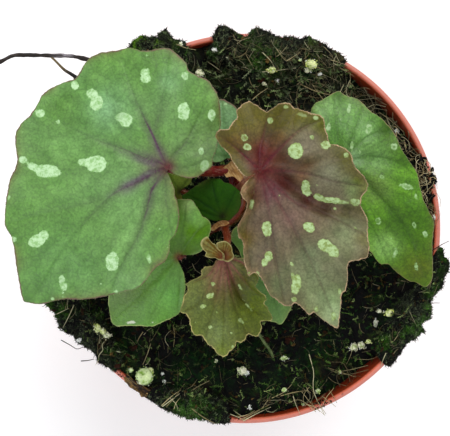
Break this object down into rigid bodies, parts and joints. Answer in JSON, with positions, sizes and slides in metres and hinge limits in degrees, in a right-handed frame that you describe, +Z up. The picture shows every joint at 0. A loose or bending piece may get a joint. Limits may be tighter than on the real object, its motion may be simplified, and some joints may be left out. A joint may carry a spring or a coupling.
{
  "type": "potted polka dot begonia",
  "caption": "Young polka dot begonia with pale-spotted, lobed and toothed leaves on red stalks, growing in mossy potting mix in a tapered nursery pot.",
  "frame": {"origin": "middle of the pot's base, on the surface that it stands on", "axes": "+Z up; seen from above, +X is to the right and +Y towards the top of the picture"},
  "size_m": [0.1402, 0.1227, 0.1461],
  "materials": {
    "terracotta_plastic": "satin moulded plastic",
    "peat_mix": "loose, damp and matt",
    "moss": "soft and matt",
    "stem": "smooth and succulent",
    "petiole": "downy and succulent",
    "leaf_green": "soft satin, with pale spots",
    "leaf_bright": "glossy, with pale rings",
    "leaf_bronze": "satin, with pale spots",
    "leaf_olive": "satin, with pale spots",
    "leaf_dark": "satin",
    "stipule": "dry and papery",
    "twig": "dry bark",
    "sprout": "downy"
  },
  "bodies": {
    "root": {"pot": "terracotta_plastic", "potting_mix": "peat_mix", "moss_northwest": "moss", "moss_north": "moss", "moss_east": "moss", "moss_southwest": "moss", "moss_south": "moss", "stem": "stem", "petiole_big_green": "petiole", "leaf_big_green": "leaf_green", "petiole_bronze": "petiole", "leaf_bronze": "leaf_bronze", "petiole_right_green": "petiole", "leaf_right_green": "leaf_bright", "petiole_young_olive": "petiole", "leaf_young_olive": "leaf_olive", "petiole_lower_green": "petiole", "leaf_lower_green": "leaf_bright", "petiole_middle_dark": "petiole", "leaf_middle_dark": "leaf_dark", "petiole_upper_green": "petiole", "leaf_upper_green": "leaf_green", "petiole_under_bronze": "petiole", "leaf_under_bronze": "leaf_bright", "petiole_under_big": "petiole", "leaf_under_big": "leaf_dark", "stipule": "stipule", "twig": "twig", "sprout": "sprout"}
  },
  "joints": []
}
